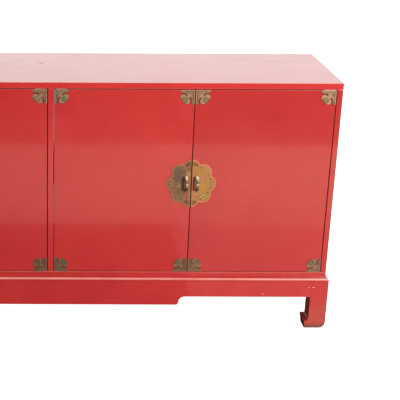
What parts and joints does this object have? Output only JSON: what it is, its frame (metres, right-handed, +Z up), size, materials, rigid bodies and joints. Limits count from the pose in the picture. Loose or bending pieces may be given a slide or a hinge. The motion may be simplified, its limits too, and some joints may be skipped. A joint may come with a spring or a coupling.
{
  "type": "lacquered sideboard",
  "caption": "Low red lacquered sideboard with flush swing doors in pairs, brass corner mounts, round lobed escutcheons, bow pulls and a stepped apron on horse-hoof feet.",
  "frame": {"origin": "on the floor, under the middle of the whole object's footprint, pulls included", "axes": "+X to the right seen from the front, +Y to the back, +Z up; the doors are on the -Y side"},
  "size_m": [1.835, 0.471, 0.84],
  "materials": {
    "red_lacquer": "glossy red lacquer over wood, worn at the edges",
    "inside_lacquer": "satin dark red lacquer over wood",
    "back_board": "bare plywood",
    "aged_brass": "aged olive-grey brass, engraved",
    "bright_brass": "rubbed brass",
    "hinge_steel": "plated steel",
    "catch_plastic": "moulded, matt brown"
  },
  "bodies": {
    "case": {"top_panel": "red_lacquer", "bottom_panel": "red_lacquer", "left_side_panel": "red_lacquer", "right_side_panel": "red_lacquer", "centre_partition": "red_lacquer", "left_back_panel": "back_board", "right_back_panel": "back_board", "left_shelf": "inside_lacquer", "right_shelf": "inside_lacquer", "left_inner_cleat": "inside_lacquer", "left_outer_cleat": "inside_lacquer", "right_inner_cleat": "inside_lacquer", "right_outer_cleat": "inside_lacquer", "left_catch": "catch_plastic", "right_catch": "catch_plastic", "base_board": "red_lacquer", "front_apron": "red_lacquer", "back_apron": "red_lacquer", "left_apron": "red_lacquer", "right_apron": "red_lacquer", "front_left_leg": "red_lacquer", "front_right_leg": "red_lacquer", "back_left_leg": "red_lacquer", "back_right_leg": "red_lacquer", "left_outer_top_hinge": "hinge_steel", "left_outer_bottom_hinge": "hinge_steel", "left_inner_top_hinge": "hinge_steel", "left_inner_bottom_hinge": "hinge_steel", "right_inner_top_hinge": "hinge_steel", "right_inner_bottom_hinge": "hinge_steel", "right_outer_top_hinge": "hinge_steel", "right_outer_bottom_hinge": "hinge_steel"},
    "left_outer_door_body": {"left_outer_door": "red_lacquer", "left_outer_pull": "bright_brass", "left_outer_escutcheon": "aged_brass", "left_outer_top_left_corner": "aged_brass", "left_outer_top_right_corner": "aged_brass", "left_outer_bottom_left_corner": "aged_brass", "left_outer_bottom_right_corner": "aged_brass"},
    "left_inner_door_body": {"left_inner_door": "red_lacquer", "left_inner_pull": "bright_brass", "left_inner_escutcheon": "aged_brass", "left_inner_top_left_corner": "aged_brass", "left_inner_top_right_corner": "aged_brass", "left_inner_bottom_left_corner": "aged_brass", "left_inner_bottom_right_corner": "aged_brass"},
    "right_inner_door_body": {"right_inner_door": "red_lacquer", "right_inner_pull": "bright_brass", "right_inner_escutcheon": "aged_brass", "right_inner_top_left_corner": "aged_brass", "right_inner_top_right_corner": "aged_brass", "right_inner_bottom_left_corner": "aged_brass", "right_inner_bottom_right_corner": "aged_brass"},
    "right_outer_door_body": {"right_outer_door": "red_lacquer", "right_outer_pull": "bright_brass", "right_outer_escutcheon": "aged_brass", "right_outer_top_left_corner": "aged_brass", "right_outer_top_right_corner": "aged_brass", "right_outer_bottom_left_corner": "aged_brass", "right_outer_bottom_right_corner": "aged_brass"}
  },
  "joints": [
    {"name": "left_outer_swing", "type": "hinge", "parent": "case", "child": "left_outer_door_body", "pos_m": [-0.878, -0.204, 0.5119], "axis": [0, 0, -1], "range_deg": [0, 110]},
    {"name": "left_inner_swing", "type": "hinge", "parent": "case", "child": "left_inner_door_body", "pos_m": [-0.0215, -0.204, 0.5119], "axis": [0, 0, 1], "range_deg": [0, 88]},
    {"name": "right_inner_swing", "type": "hinge", "parent": "case", "child": "right_inner_door_body", "pos_m": [0.0215, -0.204, 0.5119], "axis": [0, 0, -1], "range_deg": [0, 88]},
    {"name": "right_outer_swing", "type": "hinge", "parent": "case", "child": "right_outer_door_body", "pos_m": [0.878, -0.204, 0.5119], "axis": [0, 0, 1], "range_deg": [0, 110]}
  ]
}
